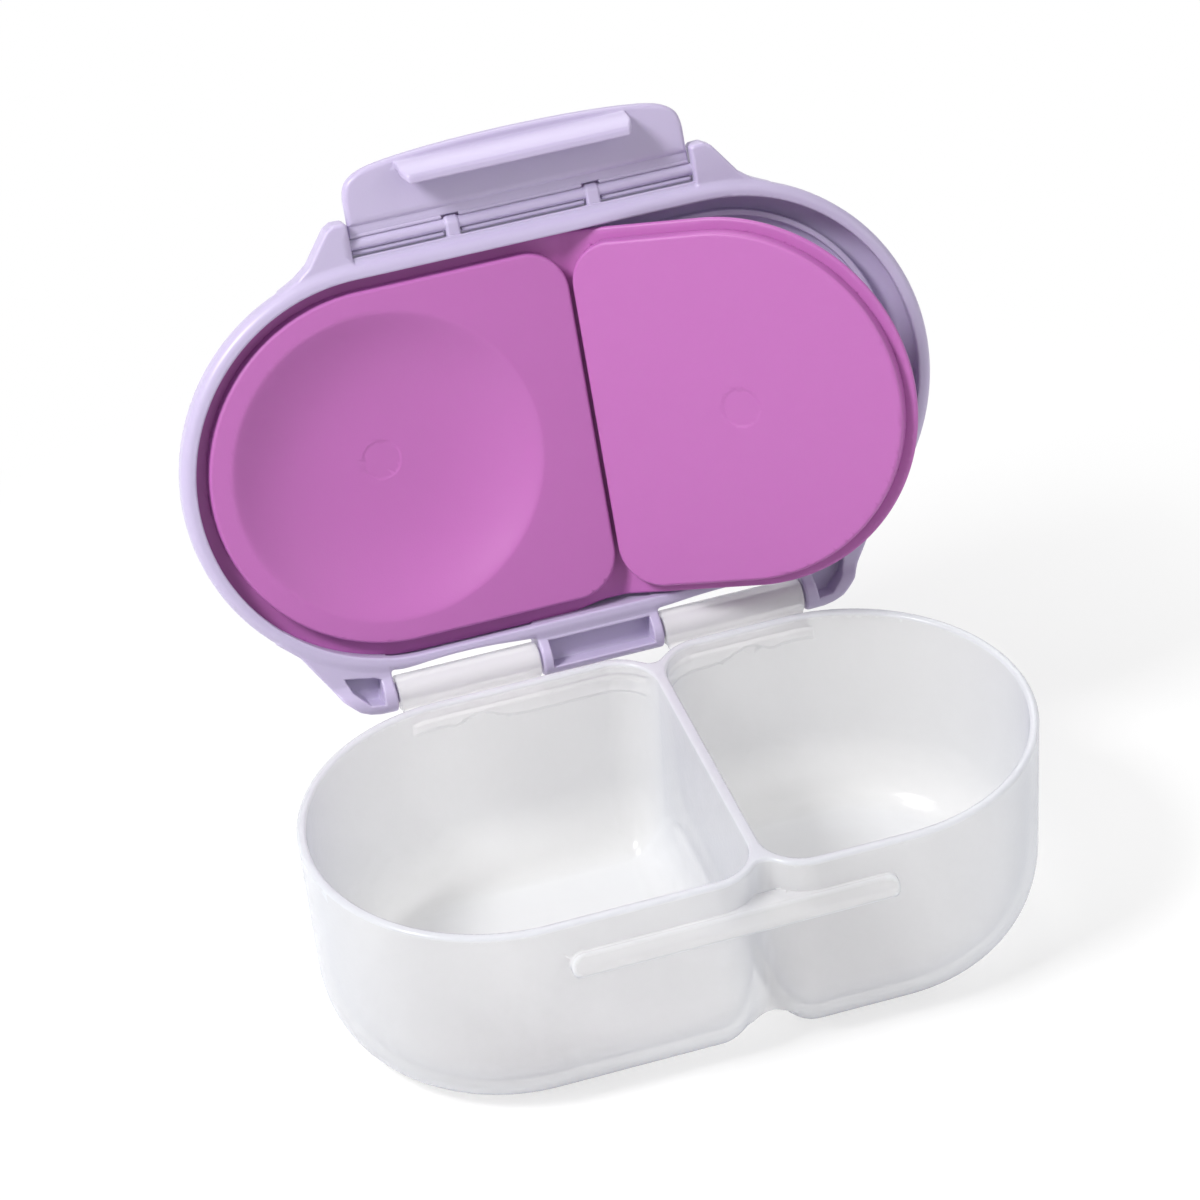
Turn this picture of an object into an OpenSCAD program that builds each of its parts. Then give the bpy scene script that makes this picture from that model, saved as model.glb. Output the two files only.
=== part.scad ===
// Toddler snack container with two compartments, a hinged lid, a front latch
// and a soft seal.  Millimetres, +Z up, +X to the right, -Y is the latch side.
// The origin is the middle of the flat base.  The lid, latch and seal are drawn
// in their closed places and then swung to the open rest pose.

/* [Box] */
// Overall length of the box at its rim
box_l = 185; // [150:1:230]
// Overall width of the box at its rim
box_w = 95.4; // [88:0.2:120]
// Height of the rim above the table
box_h = 58.2; // [50:0.2:75]
// Thickness of the box walls
wall = 2.3; // [1.8:0.1:2.8]
// Thickness of the box floor
floor_t = 4; // [3:0.1:4.8]
// Draft of the box walls in degrees
draft = 1.2; // [0.6:0.1:1.2]
// Height of the rounding at the foot of the outer walls
foot_h = 20; // [16:0.5:24]
// Rounding of the rim's outer edge
rim_round = 0.8; // [0.4:0.1:1]
// Upright corner radius of each compartment, inside
corner_r = 11.4; // [10.6:0.1:14]

/* [Divider] */
// Middle of the divider, off the middle of the box
divider_x = 9.4; // [0:0.1:14]
// Thickness of the divider at its top
divider_t = 2.7; // [2.2:0.1:2.8]
// Depth of the valley where the two compartments meet, front and rear
valley_d = 7; // [5:0.1:9]
// Height at which the web that closes the valley starts
valley_foot = 9.5; // [7:0.5:14]

/* [Lid hinge] */
// Distance of the hinge line behind the rim
hinge_y_gap = 9.8; // [9.4:0.1:12]
// Depth of the hinge line below the top of the rim
hinge_drop = 2.2; // [1.8:0.1:2.6]
// Radius of the pins on the lid
pin_r = 2.5; // [2:0.1:2.8]
// Running clearance of a pin in its clip
pin_gap = 0.06; // [0.03:0.01:0.09]
// Wall of the clips that hold the pins
clip_wall = 1.8; // [1.4:0.05:2]
// Length of each clip
clip_len = 37; // [28:0.5:40]
// Half the width of the lid's block between the clips
block_half = 15.9; // [12:0.1:18]
// Gap between the ends of the clips and the lid
end_gap = 0.5; // [0.4:0.1:1]
// Mouth of the clips, as an angle
mouth_angle = 84; // [60:1:90]
// Angle from closed at which the lid stops
open_angle = 109.2; // [95:0.1:115]

/* [Lid] */
// Clearance between the rim of the box and the skirt of the lid
skirt_gap = 0.7; // [0.6:0.05:1]
// Thickness of the lip at the foot of the skirt
skirt_t = 3.6; // [3:0.1:4]
// Thickness of the skirt above its lip
skirt_wall = 2.1; // [1.6:0.1:2.5]
// How far the skirt reaches down over the rim
skirt_drop = 4.8; // [4:0.1:5]
// Height of the lid's top above the rim
lid_rise = 6.8; // [6.4:0.1:9]
// Thickness of the lid's top
lid_skin = 1.2; // [1:0.1:1.6]
// Radius of the window over the dish
window_r = 32; // [30:0.5:34]

/* [Latch] */
// Distance of the latch pivot in front of the rim
latch_y_gap = 8.4; // [8:0.1:9]
// Depth of the latch pivot below the top of the rim
latch_drop = 0; // [0:0.1:0.6]
// Overall width of the latch
latch_w = 87; // [76:0.5:96]
// Reach of the latch from its pivot
latch_l = 21.4; // [21:0.1:24]
// Thickness of the latch plate
latch_t = 2.2; // [1.8:0.1:2.6]
// Radius of the pivot rod
rod_r = 1.5; // [1.3:0.05:1.7]
// Wall of the latch knuckles round the rod
knuckle_wall = 1.3; // [1:0.05:1.5]
// Distance of the two lugs between the knuckles from the middle
lug_x = 18; // [14:0.1:24]
// Width of each lug
lug_w = 4.3; // [3:0.1:5]
// Width of the hook bar
hook_w = 59; // [40:1:66]
// Height of the hook bar above the pivot line
hook_h = 9.6; // [9:0.1:9.8]

/* [Catch] */
// Width of the ridge that the hook holds under
catch_w = 82; // [64:1:90]
// How far the ridge stands out from the rim line
catch_out = 2.7; // [2.4:0.1:3]
// Depth of the ridge's lower edge below the rim
catch_drop = 15; // [14.6:0.1:15.4]
// Height of the ridge
catch_h = 6; // [4.8:0.1:6.4]

/* [Seal] */
// Thickness of the seal's flange
flange_t = 1.7; // [1.4:0.1:2]
// Gap between the flange and the rim that it seats on
seat_gap = 0.8; // [0.7:0.05:1]
// Gap between the flange and the lid's ribs
rib_gap = 0.3; // [0.2:0.05:0.4]
// Clearance between the plugs and the compartment walls
plug_gap = 0.45; // [0.4:0.05:0.8]
// How far the plugs reach below the flange
plug_h = 4; // [3.4:0.1:4.8]
// Thickness of the plug walls
plug_wall = 1.3; // [1.1:0.1:1.6]
// Radius of the round dish in the left plug
dish_r = 38.5; // [34:0.5:40]
// Depth of the dish
dish_d = 8; // [6:0.1:8.4]
// Thickness of the dish
dish_t = 1.2; // [1:0.1:1.6]
// How far the right half stands out of the lid where its straight edge ends
peel_rise = 22.5; // [8:0.5:22.5]
// Clearance between the two halves and round the dish
split_gap = 0.4; // [0.3:0.05:0.6]

/* [Hidden] */
$fn = 96;
eps = 0.01;

// The box
half_w = box_w / 2;
run = box_l / 2 - half_w;              // half the straight run of the round-ended outline
outer_corner = corner_r + wall;
peel_angle = atan(peel_rise / (run - divider_x));
foot_in = outer_corner - foot_h_draft(box_h) - 0.3;
left_face = divider_x - divider_t / 2;
right_face = divider_x + divider_t / 2;
web_y = half_w - valley_d;

// The hinge line and the latch line, with the lid closed
hinge_y = half_w + hinge_y_gap;
hinge_z = box_h - hinge_drop;
clip_r = pin_r + pin_gap + clip_wall;
clip_start = block_half + end_gap;
clip_end = clip_start + clip_len;
ear_face = clip_end + end_gap;
latch_y = -half_w - latch_y_gap;
latch_z = box_h - latch_drop;

// The lid
skirt_in = half_w + skirt_gap;
skirt_out = skirt_in + skirt_t;
skirt_z = box_h - skirt_drop;
top_z = box_h + lid_rise;
ceiling_z = top_z - lid_skin;
dish_x = -run;

// The seal, with the lid closed
flange_z = box_h + seat_gap;
flange_top = flange_z + flange_t;
plug_z = flange_z - plug_h;
fold_z = flange_z;                     // line that the right half is peeled about
pop_r = window_r - 0.6;                // outer radius of the part that pops out
dish_flat = 20;

pp_clear = [0.92, 0.93, 0.95, 0.75];
pp_lilac = [0.80, 0.74, 0.89];
silicone = [0.76, 0.43, 0.73];

function foot_h_draft(h) = (h - foot_h) * tan(draft);
function smooth(t) = t * t * (3 - 2 * t);

// Wall profile from the foot to the rim, as [inset, height] pairs: an elliptic
// foot, a drafted wall and a rounded edge, or a straight run above the rim.
function wall_profile(z0, foot_in, foot_h, z1, top, edge) = [
    for (i = [0 : 8])
        let (a = 90 - i * 90 / 8)
        [(z1 - z0 - foot_h) * tan(draft) + foot_in * (1 - cos(a)), z0 + foot_h * (1 - sin(a))],
    [edge * tan(draft), z1 - edge],
    if (edge > 0) [edge * 0.3, z1 - edge * 0.3],
    if (edge > 0) [edge, z1],
    if (top > 0) [0, z1 + top]
];

// Solid with a D-shaped plan: a straight web side at x = xw with round corners
// and a half-round end that reaches x = xe.  The profile runs all the way round.
module pan(xw, xe, hw, rc, profile) {
    z0 = profile[0][1];
    z1 = profile[len(profile) - 1][1];
    xc = xe - hw;
    translate([xc, 0, 0]) rotate([0, 0, -90]) rotate_extrude(angle = 180) lathe(hw, profile);
    for (s = [-1, 1])
        translate([xw + rc, s * (hw - rc), 0])
            rotate([0, 0, s > 0 ? 90 : 180]) rotate_extrude(angle = 90) lathe(rc, profile);
    along_x(xw + rc, xc) polygon(concat(
        [for (p = profile) [hw - p[0], p[1]]],
        [for (i = [len(profile) - 1 : -1 : 0]) [-hw + profile[i][0], profile[i][1]]]));
    along_y(-hw + rc, hw - rc) polygon(concat(
        [for (p = profile) [xw + p[0], p[1]]], [[xw + rc, z1], [xw + rc, z0]]));
}

// Half of a profile for turning about the axis, filled to the axis
module lathe(r, profile) {
    polygon(concat([[0, profile[0][1]]], [for (p = profile) [r - p[0], p[1]]],
        [[0, profile[len(profile) - 1][1]]]));
}

// Extrudes a drawing of (y, z) from x = a to x = b
module along_x(a, b) {
    translate([a, 0, 0]) rotate([90, 0, 90]) linear_extrude(b - a) children();
}

// Extrudes a drawing of (x, z) from y = a to y = b
module along_y(a, b) {
    translate([0, b, 0]) rotate([90, 0, 0]) linear_extrude(b - a) children();
}

// Carries a drawing of (distance from the middle line, z) round the oval outline
module oval(half_run) {
    for (s = [-1, 1])
        translate([s * half_run, 0, 0]) rotate([0, 0, -90 * s]) rotate_extrude(angle = 180) children();
    along_x(-half_run, half_run) {
        children();
        mirror([1, 0]) children();
    }
}

// Swings what is drawn closed to the open rest pose of the lid
module swung() {
    translate([0, hinge_y, hinge_z]) rotate([-open_angle, 0, 0])
        translate([0, -hinge_y, -hinge_z]) children();
}

// Peels the right half of the seal about the web between the plugs
module peeled() {
    translate([divider_x, 0, fold_z]) rotate([0, peel_angle, 0])
        translate([-divider_x, 0, -fold_z]) children();
}

// ---------------------------------------------------------------- the box

module compartment(grow, z0, foot_in, foot_h, top, edge) {
    profile = wall_profile(z0, foot_in, foot_h, box_h, top, edge);
    mirror([1, 0, 0])
        pan(-left_face - grow, box_l / 2 - wall + grow, half_w - wall + grow, corner_r + grow, profile);
    pan(right_face - grow, box_l / 2 - wall + grow, half_w - wall + grow, corner_r + grow, profile);
}

// Webs that close the valleys between the two compartments, front and rear
module valley_webs() {
    for (s = [-1, 1])
        translate([divider_x - 4, s > 0 ? web_y - 4 : -web_y, valley_foot])
            cube([8, 4, box_h - rim_round - valley_foot]);
}

// Long ridge under the rim: a ramp above, and an undercut below that curves
// round the closed latch's pivot so that the hook swings in under it
module catch_ridge() {
    edge_y = -half_w - catch_out;
    edge_z = box_h - catch_drop;
    ridge_r = norm([edge_y - latch_y, edge_z - latch_z]);
    back_y = -half_w + 9;
    intersection() {
        difference() {
            along_x(-catch_w / 2, catch_w / 2) polygon([
                [edge_y, edge_z - 1], [edge_y, edge_z + 1.6], [-half_w, edge_z + catch_h],
                [back_y, edge_z + catch_h], [back_y, edge_z - 1]]);
            along_x(-catch_w / 2 - 1, catch_w / 2 + 1) difference() {
                translate([edge_y - 1, edge_z - 6]) square([14, 14]);
                translate([latch_y, latch_z]) circle(ridge_r);
            }
        }
        along_y(edge_y - 1, back_y + 1) boat(catch_w, edge_z - 1, edge_z + catch_h + 1, 4.5);
    }
}

// Rectangle with its two lower corners rounded
module boat(w, z0, z1, r) {
    for (s = [-1, 1]) translate([s * (w / 2 - r), z0 + r]) circle(r);
    translate([-w / 2, z0 + r]) square([w, z1 - z0 - r]);
    translate([-w / 2 + r, z0]) square([w - 2 * r, z1 - z0]);
}

// One clip: a barrel with a mouth that points down and back
module clip() {
    along_x(clip_start, clip_end) translate([hinge_y, hinge_z]) circle(clip_r);
}

module clip_bore() {
    mouth_turn = -50;
    along_x(clip_start - 1, clip_end + 1) translate([hinge_y, hinge_z]) {
        circle(pin_r + pin_gap);
        rotate(mouth_turn) polygon([[0, 0], [2 * clip_r, -2 * clip_r * tan(mouth_angle / 2)],
            [2 * clip_r, 2 * clip_r * tan(mouth_angle / 2)]]);
    }
}

// Shelf that carries a clip: it passes under the lid's skirt, and the curtain
// below it has a waved edge
module clip_support() {
    inset = 0.6;
    shelf_t = 1.9;
    shelf_top = skirt_z - 0.5;
    along_x(clip_start + inset, clip_end - inset) polygon([
        [half_w - wall / 2, shelf_top - shelf_t], [half_w - wall / 2, shelf_top],
        [hinge_y - clip_r - 0.4, shelf_top], [hinge_y - clip_r * 0.7, hinge_z - clip_r * 0.3],
        [hinge_y - pin_r * 0.8, hinge_z - pin_r * 1.1], [hinge_y - pin_r * 0.8, shelf_top - shelf_t]]);
    n = 24;
    w = clip_len - 2 * inset;
    along_y(half_w - wall / 2, half_w + 2.2) polygon(concat(
        [for (i = [0 : n])
            let (t = i / n)
            [clip_start + inset + w * t, shelf_top - 3.4 - 2.2 * cos(360 * t)]],
        [[clip_end - inset, shelf_top - 0.4], [clip_start + inset, shelf_top - 0.4]]));
}

module tub() {
    color(pp_clear) difference() {
        union() {
            compartment(wall, 0, foot_in, foot_h, 0, rim_round);
            valley_webs();
            catch_ridge();
            for (s = [0, 1]) mirror([s, 0, 0]) {
                clip();
                clip_support();
            }
        }
        compartment(0, floor_t, foot_in - wall, foot_h - wall, 1, 0);
        for (s = [0, 1]) mirror([s, 0, 0]) clip_bore();
    }
}

// ---------------------------------------------------------------- the lid

// Section of the lid from the middle line outwards: rounded skirt, side and top
module lid_section() {
    polygon([
        [0, ceiling_z], [skirt_out - 8, ceiling_z], [skirt_out - skirt_wall - 2.2, ceiling_z - 0.5],
        [skirt_out - skirt_wall - 0.4, box_h + 2.6], [skirt_out - skirt_wall, box_h + 0.6],
        [skirt_out - skirt_wall, skirt_z + 4.2], [skirt_in, skirt_z + 3], [skirt_in, skirt_z + 0.6],
        [skirt_in + 0.6, skirt_z],
        [skirt_out - 2, skirt_z], [skirt_out - 0.8, skirt_z + 0.7], [skirt_out - 0.1, skirt_z + 2.2],
        [skirt_out, skirt_z + 4], [skirt_out - 0.2, box_h + 1], [skirt_out - 0.9, box_h + 3.2],
        [skirt_out - 2.3, box_h + 5.2],
        [skirt_out - 4.6, top_z - 0.5], [skirt_out - 8, top_z], [0, top_z]]);
}

// Ribs under the lid's top that the flange of the seal rests on
module lid_ribs() {
    rib_z = flange_top + rib_gap;
    for (r = [skirt_in - 4.5, skirt_in - 8.5])
        oval(run) translate([r - 1.5, rib_z]) square([1.5, ceiling_z - rib_z + eps]);
    translate([dish_x, 0, 0]) rotate_extrude()
        translate([window_r, rib_z]) square([1.6, ceiling_z - rib_z + eps]);
}

// Right-hand ear, seen from above: it runs from the side of the lid to the
// hinge line and carries the outer end of the pin
module ear_outline() {
    tip_y = hinge_y + clip_r;
    polygon([[ear_face, half_w - 4], [ear_face, tip_y - 0.4], [ear_face + 0.6, tip_y],
        [ear_face + 4.6, tip_y - 0.3], [ear_face + 9.6, tip_y - 2.4], [ear_face + 13.6, tip_y - 6.2],
        [ear_face + 17.6, tip_y - 12.6], [ear_face + 21.8, tip_y - 19.4], [ear_face + 26.6, tip_y - 24],
        [ear_face + 20, half_w - 16]]);
}

// Keeps the ears and the block round: a bar about the hinge line, and all above it
module hinge_envelope() {
    along_x(-box_l, box_l) {
        translate([hinge_y, hinge_z]) circle(clip_r + 0.3);
        translate([hinge_y - 60, hinge_z - 2]) square([60, box_h - hinge_z + 7.5]);
        translate([hinge_y - 1, hinge_z]) square([clip_r + 1.3, 4]);
    }
}

module hinge_arms() {
    intersection() {
        union() {
            for (s = [0, 1]) mirror([s, 0, 0])
                translate([0, 0, hinge_z - 10]) linear_extrude(40) ear_outline();
            translate([-block_half, half_w - 2, hinge_z - 10]) cube([2 * block_half, 30, 40]);
        }
        hinge_envelope();
    }
    for (s = [0, 1]) mirror([s, 0, 0])
        along_x(block_half - 1, ear_face + 2) translate([hinge_y, hinge_z]) circle(pin_r);
}

// Hollows on the underside of the ears and of the block
module arm_pockets() {
    pocket_z = hinge_z + 1.5;
    for (s = [0, 1]) mirror([s, 0, 0])
        translate([0, 0, hinge_z - 10]) linear_extrude(pocket_z - hinge_z + 10) polygon([
            [ear_face + 3, hinge_y - 4.8], [ear_face + 3.4, hinge_y + 1], [ear_face + 7, hinge_y + 0.4],
            [ear_face + 10.6, hinge_y - 3.4], [ear_face + 12, hinge_y - 7],
            [ear_face + 4.4, hinge_y - 5.6]]);
    translate([2.6 - block_half, hinge_y - 4.4, hinge_z - 10])
        cube([2 * block_half - 5.2, 6.4, pocket_z - hinge_z + 10]);
}

// Long shallow scallops in the back of the skirt, which give the clips room
module rear_scallops() {
    chord = clip_len - 3;
    depth = 1.5;
    r = (chord * chord / 4 + depth * depth) / (2 * depth);
    for (s = [-1, 1])
        translate([s * (clip_start + clip_end) / 2, skirt_out - depth + r, skirt_z - 1])
            cylinder(h = box_h + 2 - skirt_z, r = r, $fn = 360);
}

// Right-hand shoulder that holds the end of the latch's rod, seen from above
module shoulder_outline() {
    inner = latch_w / 2 + end_gap;
    nose_y = latch_y - 6.2;
    polygon([[inner, -half_w + 2], [inner, nose_y + 0.6], [inner + 0.7, nose_y], [inner + 3.4, nose_y - 0.2],
        [inner + 5.4, nose_y + 1], [inner + 8, nose_y + 4.4], [inner + 11.2, nose_y + 8.8],
        [inner + 14.6, nose_y + 11.4], [inner + 19, nose_y + 13.8], [inner + 14, -half_w + 8]]);
}

module latch_mounts() {
    for (s = [0, 1]) mirror([s, 0, 0]) {
        translate([0, 0, latch_z - 3.2]) linear_extrude(6) shoulder_outline();
        translate([lug_x - lug_w / 2, latch_y, latch_z - 2]) cube([lug_w, latch_y_gap - 1, 4]);
        along_x(lug_x - lug_w / 2, lug_x + lug_w / 2) translate([latch_y, latch_z]) circle(2);
    }
    along_x(-latch_w / 2 - 2, latch_w / 2 + 2) translate([latch_y, latch_z]) circle(rod_r);
}

module lid() {
    color(pp_lilac) swung() difference() {
        union() {
            difference() {
                oval(run) lid_section();
                rear_scallops();
            }
            difference() {
                union() {
                    hinge_arms();
                    latch_mounts();
                }
                translate([0, 0, skirt_z - 20]) linear_extrude(box_l) skirt_plan();
            }
            lid_ribs();
        }
        translate([dish_x, 0, box_h]) cylinder(h = 30, r = window_r);
        arm_pockets();
    }
}

// Inner outline of the skirt
module skirt_plan() {
    r = skirt_in + 0.4;
    for (s = [-1, 1]) translate([s * run, 0]) circle(r);
    square([2 * run, 2 * r], center = true);
}

// ---------------------------------------------------------------- the latch

module latch_plate() {
    corner = 11;
    bow = 220;
    plate_in = rod_r + knuckle_wall - 0.4;
    intersection() {
        union() {
            square([latch_w, 2 * (latch_l - corner)], center = true);
            for (s = [-1, 1]) translate([s * (latch_w / 2 - corner), corner - latch_l]) circle(corner);
            translate([-latch_w / 2 + corner, -latch_l]) square([latch_w - 2 * corner, latch_l]);
        }
        translate([0, bow - latch_l]) circle(bow, $fn = 360);
        translate([-latch_w, -latch_l - 1]) square([2 * latch_w, latch_l + 1 - plate_in]);
    }
}

// Hook bar: its inner face follows an arc about the pivot
module hook_section() {
    hook_r = norm([catch_out - latch_y_gap, catch_drop - latch_drop]) + 0.42;
    tip = -sqrt(hook_r * hook_r - hook_h * hook_h);
    mid = -sqrt(hook_r * hook_r - pow(hook_h - 3, 2));
    polygon([[tip, -hook_h], [tip - 2.2, -hook_h], [-hook_r - 1.9, 0], [-hook_r, 0],
        [-hook_r, -2.4], [mid, -hook_h + 3]]);
}

module latch() {
    plate_z = 0.6;
    knuckle_r = rod_r + knuckle_wall;
    lug_half = lug_w / 2 + end_gap;
    color(pp_lilac) swung() translate([0, latch_y, latch_z]) difference() {
        union() {
            translate([0, 0, -plate_z]) linear_extrude(latch_t) latch_plate();
            translate([0, 0, -plate_z - 0.7]) linear_extrude(0.7 + eps) difference() {
                latch_plate();
                translate([0, -0.2]) scale([0.94, 0.88]) latch_plate();
            }
            intersection() {
                along_x(-hook_w / 2, hook_w / 2) hook_section();
                translate([0, -latch_l, -hook_h]) rotate([-90, 0, 0]) linear_extrude(latch_l) polygon([
                    [-hook_w / 2, -hook_h], [hook_w / 2, -hook_h], [hook_w / 2, -3],
                    [hook_w / 2 - 3, 0], [3 - hook_w / 2, 0], [-hook_w / 2, -3]]);
            }
            for (span = [[-latch_w / 2, -lug_x - lug_half], [-lug_x + lug_half, lug_x - lug_half],
                         [lug_x + lug_half, latch_w / 2]])
                along_x(span[0], span[1]) {
                    circle(knuckle_r);
                    translate([-knuckle_r - 1, -plate_z]) square([knuckle_r + 1, latch_t]);
                }
        }
        along_x(-latch_w, latch_w) circle(rod_r + pin_gap);
    }
}

// ---------------------------------------------------------------- the seal

// Flange and hollow plug of one half.  side = 1 is the flat right half.
module seal_half(side, face) {
    edge = plug_gap;
    plug = [[0.7, plug_z], [0, plug_z + 0.7], [0, flange_z + eps]];
    hollow = [[0, plug_z + plug_wall], [0, flange_top + 1]];
    difference() {
        union() {
            intersection() {
                oval(run) polygon([[0, flange_z], [half_w - 0.8, flange_z], [half_w - 0.1, flange_z + 0.6],
                    [half_w - 0.1, flange_top - 0.5], [half_w - 0.7, flange_top], [0, flange_top]]);
                translate([divider_x, 0, 0]) mirror([side > 0 ? 0 : 1, 0, 0])
                    translate([split_gap / 2, -box_w, flange_z - 1]) cube([box_l, 2 * box_w, flange_t + 2]);
            }
            mirror([side > 0 ? 0 : 1, 0, 0])
                pan(face + edge, box_l / 2 - wall - edge, half_w - wall - edge, corner_r - edge, plug);
        }
        mirror([side > 0 ? 0 : 1, 0, 0])
            pan(face + edge + plug_wall, box_l / 2 - wall - edge - plug_wall,
                half_w - wall - edge - plug_wall, corner_r - edge - plug_wall, hollow);
    }
}

module seal_flat_half() {
    color(silicone) swung() peeled() seal_half(1, right_face);
}

module seal_dish_half() {
    color(silicone) swung() {
        difference() {
            seal_half(-1, -left_face);
            translate([dish_x, 0, plug_z - 1]) cylinder(h = plug_wall + 2, r = dish_r - 1.2);
        }
        dish_ring(pop_r + split_gap, dish_r - 1);
    }
}

// Height of the dish's underside at a distance from its middle
function dish_rise(r) = dish_d * smooth(max(0, min(1, (dish_r - r) / (dish_r - dish_flat))));

// Part of the dish between two distances from its middle
module dish_ring(r0, r1) {
    n = 10;
    radii = [for (i = [0 : n]) r0 + (r1 - r0) * i / n];
    translate([dish_x, 0, plug_z]) rotate_extrude() polygon(concat(
        [for (r = radii) [r, dish_rise(r)]],
        [for (i = [n : -1 : 0]) [radii[i], dish_rise(radii[i]) + dish_t]]));
}

// Middle of the dish, which pops out through the lid's window
module dish_membrane() {
    color(silicone) swung() {
        dish_ring(dish_flat, pop_r);
        translate([dish_x, 0, plug_z + dish_d]) cylinder(h = dish_t, r = dish_flat + eps);
    }
}

tub();
lid();
latch();
seal_dish_half();
seal_flat_half();
dish_membrane();
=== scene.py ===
# %% [markdown]
# # A snack container for a toddler
#
# Four mouldings make this box: a clear, slightly frosted tub with two
# compartments, a lilac lid, a lilac latch, and a soft orchid seal whose right
# half is peeled out of the lid.  The frame that is loaded first holds the
# measured solids of the same object, so every piece made here already has its
# place, and the joints know which piece swings with which.

# %% Load the frame
import math
import bmesh
import bpy
import numpy as np
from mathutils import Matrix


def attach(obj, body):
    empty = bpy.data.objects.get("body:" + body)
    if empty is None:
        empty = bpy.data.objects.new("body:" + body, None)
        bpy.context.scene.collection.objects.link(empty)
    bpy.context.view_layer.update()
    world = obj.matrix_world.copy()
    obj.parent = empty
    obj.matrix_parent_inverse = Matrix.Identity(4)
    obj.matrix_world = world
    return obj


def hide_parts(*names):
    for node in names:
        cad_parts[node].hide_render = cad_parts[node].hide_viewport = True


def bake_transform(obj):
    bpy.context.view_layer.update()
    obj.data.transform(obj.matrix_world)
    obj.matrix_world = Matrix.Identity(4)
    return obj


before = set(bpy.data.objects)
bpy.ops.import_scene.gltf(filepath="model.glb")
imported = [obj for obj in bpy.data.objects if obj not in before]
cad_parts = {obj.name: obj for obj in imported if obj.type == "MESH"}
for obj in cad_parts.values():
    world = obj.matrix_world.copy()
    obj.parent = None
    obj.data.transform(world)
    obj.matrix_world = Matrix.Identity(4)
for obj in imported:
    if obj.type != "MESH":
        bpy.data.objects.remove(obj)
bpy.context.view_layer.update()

import openvdb
from mathutils import Matrix, Vector

MM = 0.001

# %% [markdown]
# ## Sizes
#
# The same sizes as in the construction, in millimetres.  Anything that has to
# fit, such as the plug in a compartment, is worked out from these and a named
# clearance, so two pieces can't drift apart.

# %% Sizes of the four mouldings
BOX_L, BOX_W, BOX_H = 185.0, 95.4, 58.2
WALL, FLOOR_T, FOOT_H, CORNER_R = 2.3, 4.0, 20.0, 11.4
DRAFT = math.tan(math.radians(1.5))
DIVIDER_X, DIVIDER_T, VALLEY_D, VALLEY_FOOT = 9.4, 2.7, 7.0, 9.5
HALF_W = BOX_W / 2
RUN = BOX_L / 2 - HALF_W
LEFT_FACE = DIVIDER_X - DIVIDER_T / 2
RIGHT_FACE = DIVIDER_X + DIVIDER_T / 2
HINGE_Y, HINGE_Z = HALF_W + 9.8, BOX_H - 2.2
PIN_R, PIN_GAP, CLIP_R = 2.5, 0.06, 4.36
BLOCK_HALF, END_GAP, CLIP_LEN = 15.9, 0.5, 37.0
CLIP_START = BLOCK_HALF + END_GAP
CLIP_END = CLIP_START + CLIP_LEN
EAR_FACE = CLIP_END + END_GAP
CLIP_INSET = 0.6
LATCH_GAP, LUG_X, LUG_W, ROD_R = 8.4, 18.0, 3.5, 1.5
LATCH_Y, LATCH_Z = -HALF_W - LATCH_GAP, BOX_H
CATCH_OUT, CATCH_DROP, CATCH_HALF = 2.7, 15.0, 41.0
SKIRT_IN = HALF_W + 0.7
SKIRT_OUT, SKIRT_WALL = SKIRT_IN + 3.6, 2.1
SKIRT_Z, TOP_Z = BOX_H - 4.8, BOX_H + 6.8
CEILING_Z = TOP_Z - 1.2
FLANGE_Z = BOX_H + 0.8
FLANGE_TOP = FLANGE_Z + 1.7
PLUG_Z = FLANGE_Z - 4.0
PLUG_GAP, WEB_GAP, PLUG_WALL = 0.45, 0.12, 1.3
WINDOW_R = 32.0
OPEN_ANGLE = math.radians(109.2)
PEEL_ANGLE = math.atan(22.5 / (RUN - DIVIDER_X))
print("the peeled half stands out by %.1f degrees" % math.degrees(PEEL_ANGLE))

# %% [markdown]
# ## Camera
#
# The photograph was taken with a long lens from the front left and well above.
# The place, the turn and the lens come from fitting the object's known edges.

# %% Camera at the photograph's angle
CAMERA_AT = Vector((-245.954, -901.822, 792.88)) * MM
YAW, PITCH, ROLL, FOCAL_PIXELS = 0.252, 0.631, -0.088, 4896.133


def camera_axes(yaw, pitch, roll):
    """Right, up and backward directions of a camera."""
    ahead = Vector((math.sin(yaw) * math.cos(pitch), math.cos(yaw) * math.cos(pitch), -math.sin(pitch)))
    right = Vector((math.cos(yaw), -math.sin(yaw), 0))
    up = right.cross(ahead)
    return (right * math.cos(roll) + up * math.sin(roll),
            up * math.cos(roll) - right * math.sin(roll), -ahead)


lens = bpy.data.cameras.new("photo_camera")
lens.sensor_width = 36.0
lens.lens = FOCAL_PIXELS / 1200 * lens.sensor_width
lens.clip_start, lens.clip_end = 0.1, 20
camera = bpy.data.objects.new("photo_camera", lens)
bpy.context.collection.objects.link(camera)
turn = Matrix([list(axis) for axis in camera_axes(YAW, PITCH, ROLL)]).transposed()
camera.matrix_world = Matrix.Translation(CAMERA_AT) @ turn.to_4x4()
bpy.context.scene.camera = camera
print("lens of %.1f mm" % lens.lens)

# %% [markdown]
# ## Shapes from distance fields
#
# Moulded plastic has soft fillets everywhere, and two compartments that melt
# into one wall.  Bevels on such a mesh are slow to get right.  Here each piece
# is a formula instead: it gives the distance from any point to the surface,
# negative inside.  Two formulas join with a fillet of a given radius, or cut
# each other with a rounded edge.  The formula is sampled on a fine grid,
# turned into polygons, and every vertex is then pulled exactly onto the
# surface.  The shading normals come from the formula too.  Where a formula
# rises faster than the distance does, it is scaled down by STEEP.

# %% Fields: joining, cutting and plain shapes
STEEP = 0.85


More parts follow.
